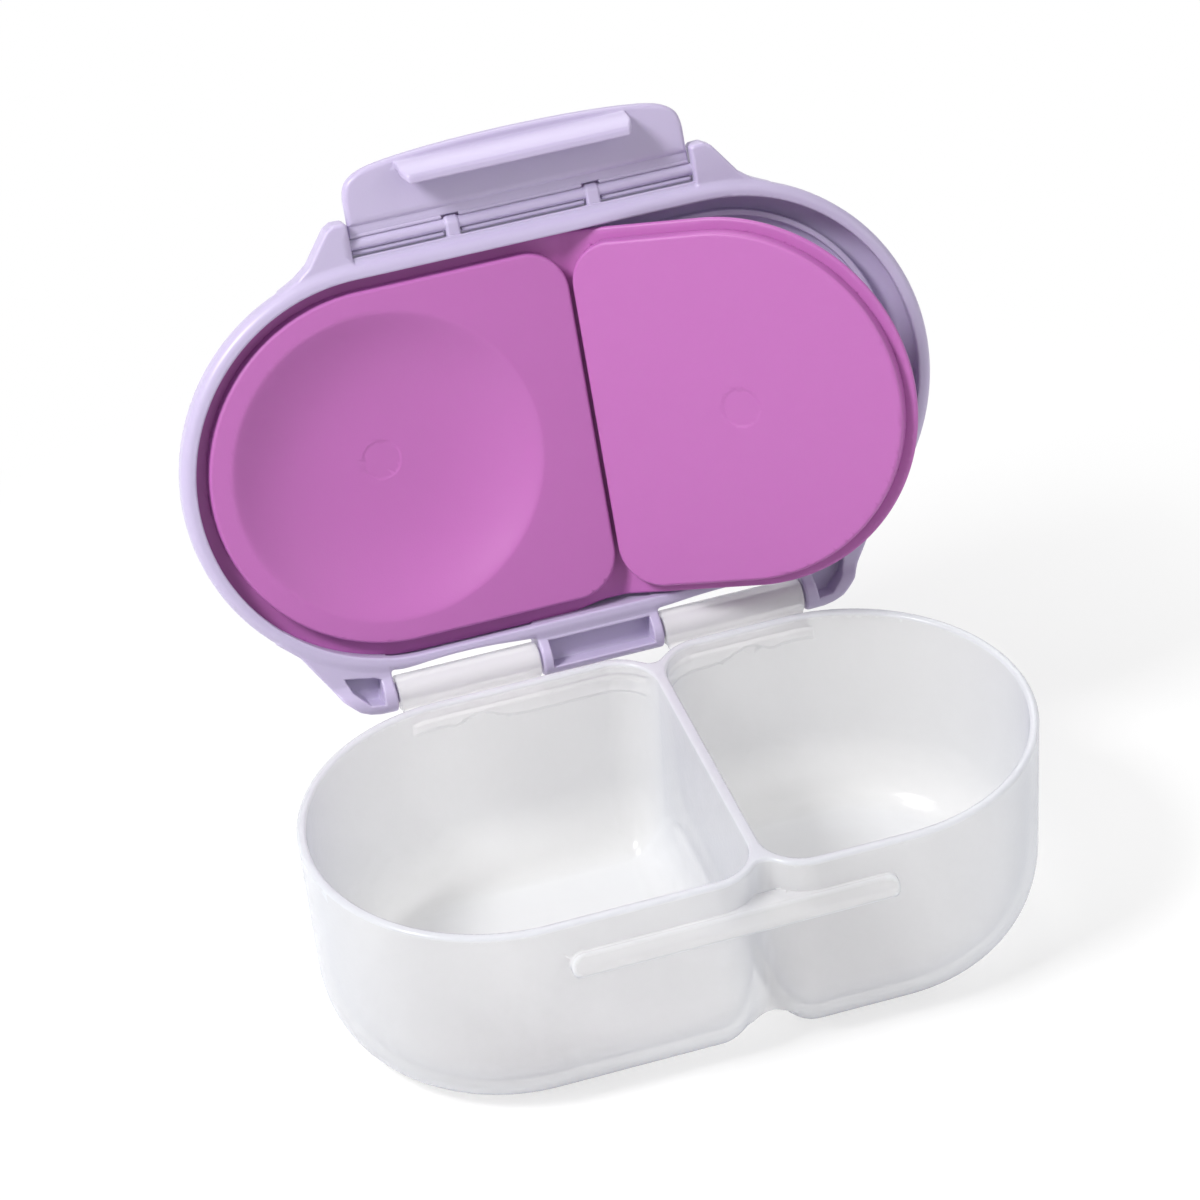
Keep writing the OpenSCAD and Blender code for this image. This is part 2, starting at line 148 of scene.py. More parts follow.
def join(a, b, fillet):
    """Both shapes, with a hollow fillet where they meet."""
    pull = np.hypot(np.maximum(fillet - a, 0), np.maximum(fillet - b, 0))
    return np.maximum(fillet, np.minimum(a, b)) - pull


def meet(a, b, edge):
    """What two shapes share, with a rounded edge."""
    push = np.hypot(np.maximum(edge + a, 0), np.maximum(edge + b, 0))
    return np.minimum(-edge, np.maximum(a, b)) + push


def cut(a, tool, edge):
    """One shape without the other."""
    return meet(a, -tool, edge)


def between(v, low, high):
    return np.maximum(low - v, v - high)


def smooth(t):
    t = np.clip(t, 0, 1)
    return t * t * (3 - 2 * t)


def rounded(qx, qy, r):
    """Distance to a rectangle with round corners.  qx and qy say how far a
    point is past the centre of the nearest corner."""
    return np.minimum(np.maximum(qx, qy), 0) + np.hypot(np.maximum(qx, 0), np.maximum(qy, 0)) - r


def outline(points, x, y):
    """Distance to a drawn outline of straight edges, negative inside."""
    x, y = np.broadcast_arrays(x, y)
    nearest = np.full(x.shape, np.inf)
    inside = np.zeros(x.shape, bool)
    for (ax, ay), (bx, by) in zip(points, points[1:] + points[:1]):
        ex, ey = bx - ax, by - ay
        t = np.clip(((x - ax) * ex + (y - ay) * ey) / (ex * ex + ey * ey), 0, 1)
        nearest = np.minimum(nearest, np.hypot(x - ax - t * ex, y - ay - t * ey))
        if ey:
            crossing = (ay > y) != (by > y)
            inside ^= crossing & (x < ax + (y - ay) * ex / ey)
    return np.where(inside, -nearest, nearest)


def plan(x, y, x_web, x_end, half, corner):
    """Distance to a compartment seen from above: straight side with round
    corners at x_web, half-round end at x_end."""
    side = 1 if x_end > x_web else -1
    u = (x - (x_web + x_end) / 2) * side
    reach = abs(x_end - x_web) / 2
    at_end = u > reach - half
    r = np.where(at_end, half, corner)
    qx = np.where(at_end, u, -u) - reach + r
    qy = np.abs(y) - half + r
    return rounded(qx, qy, r)


def from_hinge(y, z):
    return np.hypot(y - HINGE_Y, z - HINGE_Z)


def from_rod(y, z):
    return np.hypot(y - LATCH_Y, z - LATCH_Z)


# %% From a field to a mesh
PULLS, LEAST_SLOPE = 3, 0.05


def gradient(field, points, step=0.02):
    slopes = []
    for axis in range(3):
        shift = np.zeros(3)
        shift[axis] = step
        ahead, behind = (points + shift).T, (points - shift).T
        slopes.append((field(*ahead) - field(*behind)) / (2 * step))
    return np.stack(slopes, 1)


def grown_mesh(name, field, low, high, cell, adaptivity=0.004, place=None, bend=None):
    """A mesh object of a field's surface, pulled onto it and moved to its place."""
    axes = [np.arange(low[i] - cell, high[i] + 2 * cell, cell) for i in range(3)]
    x, y, z = axes
    samples = field(x[:, None, None], y[None, :, None], z[None, None, :])
    grid = openvdb.FloatGrid()
    grid.copyFromArray(np.ascontiguousarray(samples, dtype=np.float32))
    points, triangles, quads = grid.convertToPolygons(isovalue=0.0, adaptivity=adaptivity)
    points = points.astype(float) * cell + np.array([a[0] for a in axes])
    for _ in range(PULLS):
        slope = gradient(field, points)
        size = np.maximum((slope ** 2).sum(1), LEAST_SLOPE)
        move = slope * (field(*points.T) / size)[:, None]
        length = np.maximum(np.linalg.norm(move, axis=1), 1e-9)
        points -= move * np.minimum(1, 0.5 * cell / length)[:, None]
    normals = gradient(field, points)
    normals /= np.maximum(np.linalg.norm(normals, axis=1), 1e-9)[:, None]
    faces = [list(f) for f in triangles] + [list(f) for f in quads]
    first = np.array([f[:3] for f in faces])
    a, b, c = (points[first[:, i]] for i in range(3))
    facing = np.einsum("ij,ij->i", np.cross(b - a, c - a), normals[first[:, 0]]).sum()
    if facing < 0:
        faces = [f[::-1] for f in faces]
    if bend is not None:
        points, normals = bend(points, normals)
    if place is not None:
        turned = np.array(place)
        points = points @ turned[:3, :3].T + turned[:3, 3]
        normals = normals @ turned[:3, :3].T
    mesh = bpy.data.meshes.new(name)
    mesh.from_pydata(points * MM, [], faces)
    mesh.polygons.foreach_set("use_smooth", np.ones(len(mesh.polygons), bool))
    mesh.normals_split_custom_set_from_vertices(normals)
    piece = bpy.data.objects.new(name, mesh)
    bpy.context.collection.objects.link(piece)
    print("%s: %d vertices, %d triangles" % (name, len(points), len(triangles) + 2 * len(quads)))
    return piece


def about_hinge(angle):
    """Turns what is described with the lid closed to where it rests, open."""
    at = Vector((0, HINGE_Y, HINGE_Z))
    return Matrix.Translation(at) @ Matrix.Rotation(-angle, 4, "X") @ Matrix.Translation(-at)


OPENED = about_hinge(OPEN_ANGLE)

# %% [markdown]
# ## The tub
#
# Two compartments stand side by side, each with a round end, and share one
# wall in the middle.  Outside, their corners run into a soft valley that a web
# closes nearly down to the table, and below the shared wall a groove stays
# open.  Behind are two open clips on a shelf, and in front a long ridge that
# the latch hooks under.

# %% Tub: compartments and valleys
FOOT_IN = CORNER_R + WALL - 1.2
WEB_HALF, WEB_DEEP = 4, 4
BAND_LOW, BAND_OUT, CREST_X, CREST_HIGH, CREST_WIDE = 48.9, 1.5, 35.5, 3.2, 5.5
WAVE_STEP, WAVE_EDGE = 0.3, 0.9


def compartment(x, y, z, grow, x_web, x_end, floor, foot_in, foot_h):
    """One compartment: a drafted wall on an elliptic foot."""
    side = 1 if x_end > x_web else -1
    inset = plan(x, y, x_web - grow * side, x_end + grow * side, HALF_W - WALL + grow, CORNER_R + grow)
    inset = inset + (BOX_H - z) * DRAFT
    u = inset + foot_in
    w = floor + foot_h - z
    k0 = np.hypot(u / foot_in, w / foot_h)
    k1 = np.maximum(np.hypot(u / foot_in ** 2, w / foot_h ** 2), 1e-6)
    foot = np.where(u > 0, k0 * (k0 - 1) / k1, w - foot_h)
    return np.where(w > 0, foot, inset)


def tub_field(x, y, z):
    far = BOX_L / 2 - WALL
    shell = join(compartment(x, y, z, WALL, LEFT_FACE, -far, 0, FOOT_IN, FOOT_H),
                 compartment(x, y, z, WALL, RIGHT_FACE, far, 0, FOOT_IN, FOOT_H), 3.5)
    web = np.maximum(np.maximum(np.abs(x - DIVIDER_X) - WEB_HALF, VALLEY_FOOT - z),
                     between(np.abs(y), HALF_W - VALLEY_D - WEB_DEEP, HALF_W - VALLEY_D))
    shell = join(shell, web, 3.0)
    wall = shell
    shell = join(shell, catch_ridge(x, y, z), 0.3)
    shell = meet(shell, z - BOX_H, 0.9)
    shell = join(shell, shelf(x, y, z, wall), 0.4)
    room = np.minimum(compartment(x, y, z, 0, LEFT_FACE, -far, FLOOR_T, FOOT_IN - WALL, FOOT_H - WALL),
                      compartment(x, y, z, 0, RIGHT_FACE, far, FLOOR_T, FOOT_IN - WALL, FOOT_H - WALL))
    shell = cut(shell, room + wave_step(x, y, z), 0.55)
    shell = join(shell, barrels(x, y, z), 0.9)
    return cut(cut(shell, bores(x, y, z), 0.15), mouths(x, y, z), 0.4)


# %% Tub: the clips' shelf and the catch
SHELF_Z = SKIRT_Z - 0.5


def band_edge(x):
    """Lower edge of the band on the rear wall: it rises in a wave under each
    clip."""
    crest = CREST_HIGH * np.exp(-((np.abs(x) - CREST_X) / CREST_WIDE) ** 2)
    outer_end = 1.5 * smooth((np.abs(x) - 41) / 4)
    return BAND_LOW + crest + outer_end


def wave_step(x, y, z):
    """The band shows inside too, as a slight step that ends below the plugs."""
    fade = smooth((PLUG_Z + 0.1 - z) / 1.6) * smooth((y - 38) / 3)
    above = smooth((z - band_edge(x) - 0.6) / WAVE_EDGE)
    return WAVE_STEP * fade * above * smooth((CLIP_END - CLIP_INSET - np.abs(x)) / WAVE_EDGE)


def shelf(x, y, z, wall):
    """Shelf that carries the clips, and the band below it."""
    run = between(np.abs(x), CLIP_START + CLIP_INSET, CLIP_END - CLIP_INSET)
    plate = meet(between(y, HALF_W - 1, HINGE_Y - 2), between(z, SHELF_Z - 1.9, SHELF_Z), 0.3)
    plate = meet(plate, run, 0.5)
    area = np.maximum(np.maximum(band_edge(x) - z, z - SHELF_Z), np.abs(x) - CLIP_END + CLIP_INSET)
    band = meet(np.maximum(wall - BAND_OUT, 30 - y), area * STEEP, 0.6)
    return np.minimum(plate, band)


def barrels(x, y, z):
    return meet(from_hinge(y, z) - CLIP_R, between(np.abs(x), CLIP_START, CLIP_END), 0.5)


def bores(x, y, z):
    return from_hinge(y, z) - PIN_R - PIN_GAP + 0 * x


def mouths(x, y, z):
    """The open side of the clips, which points down and back."""
    tilt, half = math.radians(-50), math.radians(42)
    along = (y - HINGE_Y) * math.cos(tilt) + (z - HINGE_Z) * math.sin(tilt)
    across = (z - HINGE_Z) * math.cos(tilt) - (y - HINGE_Y) * math.sin(tilt)
    wedge = np.abs(across) * math.cos(half) - along * math.sin(half)
    near = np.maximum(from_hinge(y, z) - 7, np.abs(x) - CLIP_END - 2)
    return np.maximum(wedge, near)


def catch_ridge(x, y, z):
    """Long ridge: a ramp above, an undercut below that the hook swings into."""
    edge_y, edge_z = -HALF_W - CATCH_OUT, BOX_H - CATCH_DROP
    reach = math.hypot(edge_y - LATCH_Y, edge_z - LATCH_Z)
    slope_out, slope_high = 1.6, 4.6
    lean = slope_out / slope_high
    slope = ((z - edge_z - 1.4) * lean - (y - edge_y)) / math.hypot(1, lean)
    section = meet(np.maximum(edge_y - y, y + HALF_W - 8), slope, 0.5)
    section = meet(section, from_rod(y, z) - reach, 0.6)
    middle, half_height, r = edge_z + 2.7, 3.5, 3.4
    ends = rounded(np.abs(x) - CATCH_HALF + r, np.abs(z - middle) - half_height + r, r)
    return meet(section, ends, 0.7)


tub = grown_mesh("tub_shell", tub_field, (-93, -51, 0), (93, 63, 61), 0.55)

# %% [markdown]
# ## The lid
#
# The lid is an oval of one section carried round: a rolled rim that reaches
# over the tub, and a flat top.  At the hinge it has two ears and a middle
# block with hollows, and the pins between them.  In front, two shoulders and
# two lugs hold the latch's rod.  It is described closed and then opened.

# %% Lid: section and arms
def ring_distance(x, y):
    """Distance from the lid's middle line, the same all round the oval."""
    return np.hypot(np.maximum(np.abs(x) - RUN, 0), y)


EAR = [(EAR_FACE, 43.7), (EAR_FACE, HINGE_Y + 3.9), (EAR_FACE + 0.7, HINGE_Y + 4.3),
       (EAR_FACE + 4.6, HINGE_Y + 4.1), (EAR_FACE + 7.4, HINGE_Y + 3.2), (EAR_FACE + 9.9, HINGE_Y + 1.8),
       (EAR_FACE + 13.6, HINGE_Y - 1.9), (EAR_FACE + 17.6, HINGE_Y - 8.3),
       (EAR_FACE + 21.8, HINGE_Y - 15.1), (EAR_FACE + 26.6, HINGE_Y - 19.8), (EAR_FACE + 20, 31.7)]
EAR_POCKET = [(EAR_FACE + 3, HINGE_Y - 4.8), (EAR_FACE + 3.4, HINGE_Y + 1), (EAR_FACE + 7, HINGE_Y + 0.4),
              (EAR_FACE + 10.6, HINGE_Y - 3.4), (EAR_FACE + 12, HINGE_Y - 7),
              (EAR_FACE + 4.4, HINGE_Y - 5.6)]
LATCH_W = 87.0
INNER = LATCH_W / 2 + END_GAP
LUG_R, KNUCKLE_ROOM = 2, 3.2
SHOULDER = [(INNER, -45.7), (INNER, LATCH_Y - 5.6), (INNER + 0.8, LATCH_Y - 6.3),
            (INNER + 3.4, LATCH_Y - 6.4), (INNER + 5.4, LATCH_Y - 5.3), (INNER + 8, LATCH_Y - 1.8),
            (INNER + 11.2, LATCH_Y + 2.6), (INNER + 14.6, LATCH_Y + 5.2),
            (INNER + 19, LATCH_Y + 7.6), (INNER + 14, -39.7)]


def lid_section(x, y, z):
    """Rolled rim, side and flat top, hollow inside.  The back of the rim has a
    long shallow scallop over each clip."""
    q = ring_distance(x, y)
    outer = meet(meet(q - SKIRT_OUT, z - TOP_Z, 7.4), SKIRT_Z - z, 2.3)
    chord, depth = CLIP_LEN - 3, 1.5
    r = (chord * chord / 4 + depth * depth) / (2 * depth)
    scallop = np.hypot(np.abs(x) - (CLIP_START + CLIP_END) / 2, y - SKIRT_OUT + depth - r) - r
    outer = cut(outer, np.maximum(scallop, z - BOX_H - 1), 0.5)
    hollow = meet(np.maximum(q - SKIRT_OUT + SKIRT_WALL, SKIRT_Z + 3.2 - z), z - CEILING_Z, 6.0)
    hollow = join(hollow, np.maximum(q - SKIRT_IN, z - SKIRT_Z - 5), 0.8)
    return cut(outer, hollow, 0.55)


def hinge_arms(x, y, z):
    """Ears, block and pins at the hinge."""
    bar = from_hinge(y, z) - CLIP_R - 0.3
    above = np.maximum(y - HINGE_Y, between(z, HINGE_Z - 2, BOX_H + 5.3))
    envelope = join(bar, above, 1.2)
    ears = meet(outline(EAR, np.abs(x), y), envelope, 0.7)
    block = meet(np.maximum(np.abs(x) - BLOCK_HALF, 40 - y), envelope, 0.7)
    pins = np.maximum(from_hinge(y, z) - PIN_R, between(np.abs(x), BLOCK_HALF - 1, EAR_FACE + 2))
    return join(np.minimum(ears, block), pins, 0.25)


def arm_pockets(x, y, z):
    """Hollows on the underside of the ears and of the block."""
    roof = z - HINGE_Z - 1.5
    ear = meet(outline(EAR_POCKET, np.abs(x), y), roof, 0.5)
    block = meet(np.maximum(np.abs(x) - BLOCK_HALF + 2.6, between(y, HINGE_Y - 4.4, HINGE_Y + 2)), roof, 0.5)
    return np.minimum(ear, block)


def latch_mounts(x, y, z):
    """Shoulders, lugs, the rod that the latch turns on and a wall behind it."""
    shoulders = meet(outline(SHOULDER, np.abs(x), y), between(z, LATCH_Z - 3.2, LATCH_Z + 2.8), 0.8)
    width = np.abs(np.abs(x) - LUG_X) - LUG_W / 2
    bridge = np.maximum(between(y, LATCH_Y, -HALF_W - 1), np.abs(z - LATCH_Z) - LUG_R)
    lugs = meet(np.minimum(bridge, from_rod(y, z) - LUG_R), width, 0.7)
    rod = np.maximum(from_rod(y, z) - ROD_R, np.abs(x) - INNER - 1)
    apron = np.maximum(between(y, -HALF_W - 5.6, -HALF_W), between(z, SKIRT_Z + 2.4, BOX_H + 5.2))
    apron = np.maximum(apron, np.abs(x) - INNER)
    apron = cut(apron, from_rod(y, z) - KNUCKLE_ROOM + 0 * x, 0.3)
    return np.minimum(np.minimum(shoulders, lugs), np.minimum(rod, apron))


def lid_field(x, y, z):
    well = SKIRT_IN + 0.4 - ring_distance(x, y)
    arms = np.maximum(np.minimum(hinge_arms(x, y, z), latch_mounts(x, y, z)), well)
    body = join(lid_section(x, y, z), arms, 0.9)
    body = cut(body, arm_pockets(x, y, z), 0.35)
    window = np.maximum(np.hypot(x + RUN, y) - WINDOW_R, BOX_H - z)
    return cut(body, window, 0.45)


lid = grown_mesh("lid_shell", lid_field, (-97, -63, 51), (97, 63, 65.2), 0.44, place=OPENED)

# %% [markdown]
# ## The ribs inside the lid
#
# Two ribs run round inside the lid's top, and a third rings its window.  Each
# follows an oval, so one Geometry Nodes tree draws it: a rectangle whose
# corners are rounded until its ends are half circles, with a small rounded
# profile swept along.

# %% Ribs
def rib_tree():
    tree = bpy.data.node_groups.new("oval_rib", "GeometryNodeTree")
    for name, kind in (("Run", "NodeSocketFloat"), ("Radius", "NodeSocketFloat"),
                       ("Rib width", "NodeSocketFloat"), ("Rib height", "NodeSocketFloat"),
                       ("Level", "NodeSocketFloat"), ("Finish", "NodeSocketMaterial")):
        tree.interface.new_socket(name=name, in_out="INPUT", socket_type=kind)
    tree.interface.new_socket(name="Geometry", in_out="OUTPUT", socket_type="NodeSocketGeometry")
    new, link = tree.nodes.new, tree.links.new
    given, result = new("NodeGroupInput"), new("NodeGroupOutput")

    def total(a, b, factor):
        node = new("ShaderNodeMath")
        node.operation = "MULTIPLY_ADD"
        link(a, node.inputs[0])
        node.inputs[1].default_value = factor
        link(b, node.inputs[2])
        return node.outputs[0]

    across = total(given.outputs["Radius"], given.outputs["Radius"], 1.0)
    path = new("GeometryNodeCurvePrimitiveQuadrilateral")
    link(total(given.outputs["Run"], across, 2.0), path.inputs["Width"])
    link(across, path.inputs["Height"])
    rounding = new("GeometryNodeFilletCurve")
    rounding.mode = "POLY"
    rounding.inputs["Count"].default_value = 40
    rounding.inputs["Limit Radius"].default_value = True
    link(path.outputs["Curve"], rounding.inputs["Curve"])
    link(given.outputs["Radius"], rounding.inputs["Radius"])
    upright = new("GeometryNodeSetCurveNormal")
    upright.mode = "Z_UP"
    link(rounding.outputs["Curve"], upright.inputs["Curve"])
    profile = new("GeometryNodeCurvePrimitiveQuadrilateral")
    link(given.outputs["Rib width"], profile.inputs["Width"])
    link(given.outputs["Rib height"], profile.inputs["Height"])
    soft = new("GeometryNodeFilletCurve")
    soft.mode = "POLY"
    soft.inputs["Count"].default_value = 4
    soft.inputs["Radius"].default_value = 0.4
    link(profile.outputs["Curve"], soft.inputs["Curve"])
    sweep = new("GeometryNodeCurveToMesh")
    link(upright.outputs["Curve"], sweep.inputs["Curve"])
    link(soft.outputs["Curve"], sweep.inputs["Profile Curve"])
    lift = new("ShaderNodeCombineXYZ")
    link(given.outputs["Level"], lift.inputs["Z"])
    moved = new("GeometryNodeSetPosition")
    link(sweep.outputs["Mesh"], moved.inputs["Geometry"])
    link(lift.outputs["Vector"], moved.inputs["Offset"])
    real = new("GeometryNodeRealizeInstances")
    link(moved.outputs["Geometry"], real.inputs["Geometry"])
    finished = new("GeometryNodeSetMaterial")
    link(real.outputs["Geometry"], finished.inputs["Geometry"])
    link(given.outputs["Finish"], finished.inputs["Material"])
    link(finished.outputs["Geometry"], result.inputs["Geometry"])
    return tree


def rib(name, tree, run, radius, width, finish, centre_x=0.0):
    """One rib, made into a plain mesh and opened with the lid."""
    low, high = FLANGE_TOP + 0.3, CEILING_Z + 0.5
    holder = bpy.data.objects.new(name + "_path", bpy.data.meshes.new(name + "_path"))
    bpy.context.collection.objects.link(holder)
    modifier = holder.modifiers.new("rib", "NODES")
    modifier.node_group = tree
    sizes = {"Run": run, "Radius": radius, "Rib width": width, "Rib height": high - low,
             "Level": (low + high) / 2, "Finish": finish}
    for item in tree.interface.items_tree:
        if item.in_out == "INPUT":
            modifier[item.identifier] = sizes[item.name]
    seen = holder.evaluated_get(bpy.context.evaluated_depsgraph_get())
    mesh = bpy.data.meshes.new_from_object(seen)
    bpy.data.objects.remove(holder)
    mesh.transform(Matrix.Scale(MM, 4) @ OPENED @ Matrix.Translation((centre_x, 0, 0)))
    shape = bmesh.new()
    shape.from_mesh(mesh)
    bmesh.ops.remove_doubles(shape, verts=shape.verts, dist=1e-6)
    bmesh.ops.recalc_face_normals(shape, faces=shape.faces)
    shape.to_mesh(mesh)
    shape.free()
    for polygon in mesh.polygons:
        polygon.use_smooth = True
    piece = bpy.data.objects.new(name, mesh)
    bpy.context.collection.objects.link(piece)
    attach(piece, "lid")
    print("%s: %d faces" % (name, len(mesh.polygons)))
    return piece


# %% [markdown]
# ## The latch
#
# A thin plate with a raised border, on three knuckles that turn on the lid's
# rod, and a bar across it whose inner side follows a circle about the rod, so
# that it hooks under the tub's ridge.  The knuckles are open on the inside, so
# the rod shows in them.

# %% Latch
LATCH_L, LATCH_T = 21.4, 2.2
PLATE_TOP = LATCH_T - 0.6
HOOK_W, HOOK_H, HOOK_T, HOOK_GAP = 59.0, 9.6, 1.9, 0.42
BOW_R, BORDER_Y = 220, -4.6
KNUCKLE_R, LUG_ROOM, ROD_GROOVE = 2.6, 2.5, 0.35


def latch_outline(x, y):
    """Distance to the plate's outline: round outer corners and a bowed edge."""
    corner = 11.0
    qx = np.abs(x) - LATCH_W / 2 + corner
    qy = -y - LATCH_L + corner
    box = rounded(qx, qy, corner)
    bow = np.hypot(x, y - BOW_R + LATCH_L) - BOW_R
    return meet(np.maximum(box, y + 2.4), bow, 3.0)


def latch_field(x, y, z):
    """The latch about its own axis: plate and border, then the bar, then the
    knuckles with room for the lugs, the rod and a groove beside it."""
    shape = latch_outline(x, y)
    plate = meet(shape, between(z, -0.6, PLATE_TOP), 0.7)
    raised = meet(np.maximum(shape, y - BORDER_Y), between(z, -1.4, 0), 1.3)
    plate = join(plate, raised, 0.3)
    reach = math.hypot(CATCH_OUT - LATCH_GAP, CATCH_DROP) + HOOK_GAP
    from_axis = np.hypot(y, z)
    far = from_axis - reach
    bar = meet(np.maximum(-far, far - HOOK_T), between(z, -HOOK_H, 0), 0.6)
    bar = np.maximum(bar, y + 5)
    bar = meet(bar, (np.abs(x) - HOOK_W / 2 - 0.5 * (z + HOOK_H)) / 1.12 + 1.2, 0.6)
    bar = meet(bar, np.abs(x) - HOOK_W / 2, 0.5)
    body = join(plate, bar, 0.5)
    hub = np.minimum(from_axis - KNUCKLE_R, np.maximum(between(y, -4.8, 0), between(z, -0.5, PLATE_TOP)))
    beside_lug = np.abs(np.abs(x) - LUG_X) - LUG_W / 2 - 0.45
    hub = meet(hub, np.abs(x) - LATCH_W / 2, 0.4)
    body = join(body, hub, 0.3)
    swing_room = np.minimum(np.maximum(-y - LUG_ROOM, z), -0.2 - y)
    body = cut(body, np.maximum(beside_lug, np.minimum(swing_room, from_axis - 2.2)), 0.2)
    bore = from_axis - ROD_R - PIN_GAP
    groove = np.maximum(from_axis - ROD_R - ROD_GROOVE, z + 0.5)
    body = cut(body, np.minimum(bore, groove) + 0 * x, 0.1)
    return cut(body, np.maximum(z + 0.75, -y - 2.4), 0.2)


latch_place = OPENED @ Matrix.Translation((0, LATCH_Y, LATCH_Z))
latch = grown_mesh("latch_plate", latch_field, (-44, -22, -10), (44, 3, 3), 0.3, place=latch_place)

# %% [markdown]
# ## The seal
#
# One soft moulding: a thin flange that lies on the rim all round, with two
# plugs that fill the compartments' mouths.  It bends along the web between the
# plugs, so the flange is made flat and then rolled up about that web.  The left
# plug is dished, and its middle may be pushed out through the lid's window.

# %% Seal: plugs
DISH_R, DISH_D, DISH_LIP = 38.4, 8.4, 0.9
DIMPLE_R, DIMPLE_D = 5.2, 0.18


def plug(x, y, face, side):
    """Distance to a plug seen from above."""
    end = side * (BOX_L / 2 - WALL - PLUG_GAP)
    return plan(x, y, face + side * WEB_GAP, end, HALF_W - WALL - PLUG_GAP, CORNER_R - PLUG_GAP)


def dimple(distance):
    """A plain shallow round dimple, as a moulding often has in its middle."""
    return DIMPLE_D * smooth((DIMPLE_R - distance) / 0.7)


def flat_plug_field(x, y, z):
    """A shallow tray of even wall, open towards the lid."""
    around = plug(x, y, RIGHT_FACE, 1)
    face_z = PLUG_Z + dimple(np.hypot(x - 49, y))
    outer = meet(around, np.maximum(face_z - z, z - FLANGE_Z - 0.6), 0.8)
    return cut(outer, meet(around + PLUG_WALL, face_z + PLUG_WALL - z, 1.5), 0.3)


def dish_height(r):
    """The bowl's depth: steep at its lip, nearly flat in the middle."""
    bowl = DISH_D * (1 - (r / DISH_R) ** 3.0)
    return meet(bowl, np.zeros_like(bowl), DISH_LIP)


def dish_plug_field(x, y, z):
    around = plug(x, y, LEFT_FACE, -1)
    r = np.hypot(x + RUN, y)
    face_z = PLUG_Z + dish_height(r) + dimple(r)
    outer = meet(around, (face_z - z) * STEEP, 0.8)
    no_limit = -5
    outer = np.maximum(outer, np.where(around > -PLUG_WALL - 0.8, z - FLANGE_Z - 0.6, no_limit))
    return cut(outer, meet(around + PLUG_WALL, (face_z + PLUG_WALL - z) * STEEP, 1.0), 0.3)


# %% Seal: the flange, rolled up about its web
FOLD_AT, FOLD_HALF = DIVIDER_X, 1.7


def flange_field(x, y, z):
    """A flat ring, slightly wider on the left, open where the plugs are."""
    q = ring_distance(x, y)
    wider = 1.5 * smooth((DIVIDER_X - 4 - x) / 12)
    sheet = meet(q - HALF_W - wider, between(z, FLANGE_Z, FLANGE_TOP), 0.75)
    open_left = plug(x, y, LEFT_FACE, -1) + 0.6
    open_right = plug(x, y, RIGHT_FACE, 1) + 0.6
    return cut(sheet, np.minimum(open_left, open_right), 0.3)


def rolled(x, z, weight):
    """Turns points about the web by a share of the peel angle."""
    angle = PEEL_ANGLE * weight
    dx, dz = x - DIVIDER_X, z - FLANGE_Z
    return (DIVIDER_X + dx * np.cos(angle) + dz * np.sin(angle),
            FLANGE_Z - dx * np.sin(angle) + dz * np.cos(angle))


def roll_up(points, normals):
    """Bends the flat flange.  The weight is worked out at the bent place."""
    x, y, z = points.T
    bent_x, bent_z = x, z
    rounds = 40
    for _ in range(rounds):
        weight = smooth((bent_x - FOLD_AT + FOLD_HALF) / (2 * FOLD_HALF))
        new_x, bent_z = rolled(x, z, weight)
        bent_x = 0.5 * bent_x + 0.5 * new_x
    angle = PEEL_ANGLE * weight
    nx, ny, nz = normals.T
    normals = np.stack([nx * np.cos(angle) + nz * np.sin(angle), ny,
                        nz * np.cos(angle) - nx * np.sin(angle)], 1)
    return np.stack([new_x, y, bent_z], 1), normals


def peeled_place():
    at = Vector((DIVIDER_X, 0, FLANGE_Z))
    peel = Matrix.Translation(at) @ Matrix.Rotation(PEEL_ANGLE, 4, "Y") @ Matrix.Translation(-at)
    return OPENED @ peel


far_x, seal_cell = BOX_L / 2, 0.45
flange = grown_mesh("seal_flange", flange_field, (-far_x - 2, -50, FLANGE_Z - 1),
                    (far_x, 50, FLANGE_TOP + 1), seal_cell, place=OPENED, bend=roll_up)
flat_plug = grown_mesh("seal_flat_plug", flat_plug_field, (10, -46, PLUG_Z - 1),
                       (far_x, 46, FLANGE_Z + 2), seal_cell, place=peeled_place())
dish_plug = grown_mesh("seal_dish_plug", dish_plug_field, (-far_x, -46, PLUG_Z - 1),
                       (9, 46, PLUG_Z + 10.5), seal_cell, place=OPENED)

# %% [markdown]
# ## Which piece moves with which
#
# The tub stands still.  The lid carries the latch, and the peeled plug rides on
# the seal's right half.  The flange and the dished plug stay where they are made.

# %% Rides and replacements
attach(tub, "tub")
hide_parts("tub")
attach(lid, "lid")
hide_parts("lid")
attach(latch, "latch")
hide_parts("latch")
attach(flat_plug, "seal_right")
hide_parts("seal_flat_half")


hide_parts("seal_dish_half")
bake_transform(flange)
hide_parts("dish_membrane")
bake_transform(dish_plug)

# %% [markdown]
# ## Finishes

# %% Materials
def finish_of(name):
    material = bpy.data.materials.new(name)
    material.use_nodes = True
    return material, material.node_tree.nodes, material.node_tree.links


def bump(nodes, links, shader, scale, distance):
    place = nodes.new("ShaderNodeTexCoord")
    noise = nodes.new("ShaderNodeTexNoise")
    noise.inputs["Scale"].default_value = scale
    noise.inputs["Detail"].default_value = 3
    relief = nodes.new("ShaderNodeBump")
    relief.inputs["Distance"].default_value = distance
    relief.inputs["Strength"].default_value = 1.0
    links.new(place.outputs["Object"], noise.inputs["Vector"])
    links.new(noise.outputs["Fac"], relief.inputs["Height"])
    links.new(relief.outputs["Normal"], shader.inputs["Normal"])


